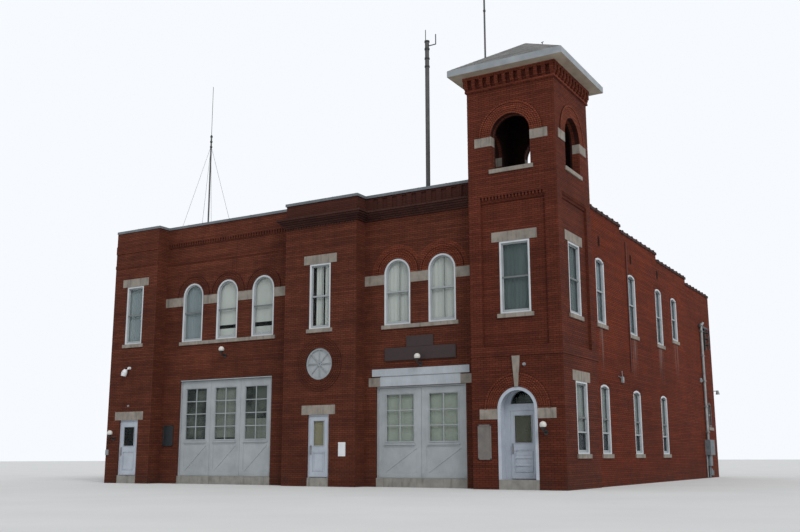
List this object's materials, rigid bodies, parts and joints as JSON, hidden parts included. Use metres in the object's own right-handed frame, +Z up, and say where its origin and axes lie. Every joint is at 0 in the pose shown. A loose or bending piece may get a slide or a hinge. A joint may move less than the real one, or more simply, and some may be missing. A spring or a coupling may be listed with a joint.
{
  "type": "fire station building",
  "caption": "Painted brick fire station with folding garage doors, arched upper windows, a corbelled cornice and a square belfry tower under a hipped roof.",
  "frame": {"origin": "middle of the footprint at the lowest ground, on the underside of the walls and the ground floor", "axes": "+Z up, -Y towards the street front, +X towards the tower's side"},
  "size_m": [20.2, 21.55, 17.79],
  "materials": {
    "brick": "painted dark red brick, matt",
    "trim_brick": "painted corbelled brick, matt",
    "stone": "weathered limestone",
    "concrete": "trowelled concrete",
    "roofing": "gravelled roofing felt",
    "shingles": "grey shingles",
    "coping": "grey coping, satin",
    "joinery": "white painted timber",
    "glass": "clear glass",
    "metal": "galvanised grey",
    "iron": "black painted iron",
    "globe": "opal white",
    "steel": "brushed"
  },
  "bodies": {
    "building": {"aerials": "metal", "arch_rings": "trim_brick", "back_coping": "coping", "back_wall": "brick", "bay_returns": "brick", "belfry_end_walls": "brick", "belfry_side_walls": "brick", "central_bay_wall": "brick", "corbel_table": "trim_brick", "cornice": "trim_brick", "door_frames": "joinery", "door_piers": "brick", "front_coping": "coping", "garage_boards": "joinery", "garage_doors": "joinery", "garage_frames": "joinery", "garage_glass": "glass", "ground_floor": "concrete", "impost_stones": "stone", "lamp_brackets": "iron", "lamp_globes": "globe", "left_bay_wall": "brick", "left_garage_wall": "brick", "lintels": "stone", "meter_box": "metal", "party_wall": "brick", "right_garage_wall": "brick", "right_wall": "brick", "roof_deck": "roofing", "side_copings": "coping", "sills": "stone", "stone_bands": "stone", "string_courses": "trim_brick", "thresholds": "concrete", "tower_back_wall": "brick", "tower_belt": "trim_brick", "tower_eaves": "joinery", "tower_floors": "concrete", "tower_front_wall": "brick", "tower_left_wall": "brick", "tower_piers": "brick", "tower_right_wall": "brick", "tower_roof": "shingles", "upper_floor": "concrete", "wall_conduit": "metal", "window_frames": "joinery", "window_glass": "glass"},
    "left_door": {"left_door_leaf": "joinery", "left_door_glass": "glass", "left_door_handle": "steel"},
    "central_door": {"central_door_leaf": "joinery", "central_door_glass": "glass", "central_door_handle": "steel"},
    "tower_door": {"tower_door_leaf": "joinery", "tower_door_glass": "glass", "tower_door_handle": "steel"}
  },
  "joints": [
    {"name": "left_door_hinge", "type": "hinge", "parent": "building", "child": "left_door", "pos_m": [-8.203, -10.448, 1.36], "axis": [0, 0, 1], "range_deg": [0, 100]},
    {"name": "central_door_hinge", "type": "hinge", "parent": "building", "child": "central_door", "pos_m": [1.042, -10.448, 1.36], "axis": [0, 0, 1], "range_deg": [0, 100]},
    {"name": "tower_door_hinge", "type": "hinge", "parent": "building", "child": "tower_door", "pos_m": [8.712, -10.058, 1.36], "axis": [0, 0, 1], "range_deg": [0, 95]}
  ]
}
